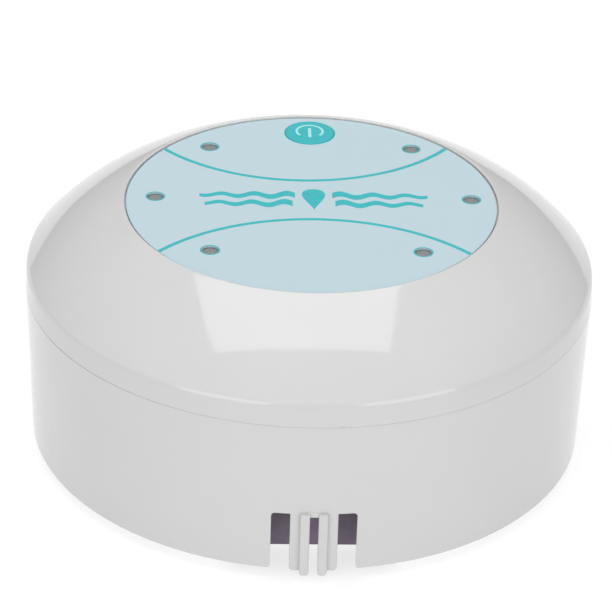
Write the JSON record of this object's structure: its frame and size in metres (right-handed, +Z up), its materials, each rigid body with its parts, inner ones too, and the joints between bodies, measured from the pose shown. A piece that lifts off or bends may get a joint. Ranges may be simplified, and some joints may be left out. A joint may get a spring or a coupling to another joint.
{
  "type": "foot spa control unit",
  "caption": "Low round plastic control unit of a foot spa: domed cover with a disc label, lamps and a power button, tapered side wall with a notched cable outlet and comb.",
  "frame": {"origin": "on the table surface under the centre of the round body, between the four rubber feet", "axes": "+Z up through the middle of the label, -Y out through the cable notch, +Y towards the power button"},
  "size_m": [0.15, 0.15, 0.0695],
  "materials": {
    "white_abs": "glossy moulded white",
    "dark_abs": "dark grey-purple, fine matt",
    "label_film": "printed satin film, pale blue",
    "key_teal": "printed satin, teal",
    "lamp_resin": "unlit diffusing resin, grey",
    "board_green": "solder mask",
    "black_resin": "moulded black",
    "steel": "zinc plated",
    "nickel": "nickel plated",
    "aluminium": "extruded",
    "copper_winding": "enamelled copper wire",
    "blue_sleeve": "blue sleeve",
    "grey_rubber": "matt",
    "lead_grey": "flexible insulation",
    "natural_nylon": "natural nylon"
  },
  "bodies": {
    "casing": {"top_cover": "white_abs", "side_wall": "white_abs", "base_plate": "white_abs", "connector_bay": "dark_abs", "label_overlay": "label_film", "led_1": "lamp_resin", "led_2": "lamp_resin", "led_3": "lamp_resin", "led_4": "lamp_resin", "led_5": "lamp_resin", "led_6": "lamp_resin", "control_board": "board_green", "power_board": "board_green", "controller_chip": "black_resin", "buzzer": "black_resin", "switch_body": "black_resin", "power_transistor": "black_resin", "base_screw_1": "steel", "base_screw_2": "steel", "base_screw_3": "steel", "base_screw_4": "steel", "control_screw_1": "steel", "control_screw_2": "steel", "control_screw_3": "steel", "control_screw_4": "steel", "power_screw_1": "steel", "power_screw_2": "steel", "power_screw_3": "steel", "power_screw_4": "steel", "bay_screw_1": "steel", "bay_screw_2": "steel", "dc_jack": "nickel", "array_socket": "nickel", "dc_jack_nut": "nickel", "array_socket_nut": "nickel", "fuse": "nickel", "heat_sink": "aluminium", "choke_coil": "copper_winding", "capacitor_1": "blue_sleeve", "capacitor_2": "blue_sleeve", "relay": "blue_sleeve", "foot_1": "grey_rubber", "foot_2": "grey_rubber", "foot_3": "grey_rubber", "foot_4": "grey_rubber", "dc_lead": "lead_grey", "array_lead": "lead_grey", "ribbon_lead": "lead_grey", "control_header": "natural_nylon", "power_header": "natural_nylon"},
    "button": {"power_button": "key_teal"},
    "plunger": {"switch_plunger": "natural_nylon"}
  },
  "joints": [
    {"name": "power_button_press", "type": "slide", "parent": "casing", "child": "button", "axis": [0, 0, -1], "range_m": [0, 0.0005], "stiffness_N_per_m": 2000},
    {"name": "switch_plunger_press", "type": "slide", "parent": "casing", "child": "plunger", "axis": [0, 0, -1], "range_m": [0, 0.0005], "stiffness_N_per_m": 200}
  ],
  "couplings": [
    {"joint": "switch_plunger_press", "follows": "power_button_press", "ratio": 1}
  ]
}
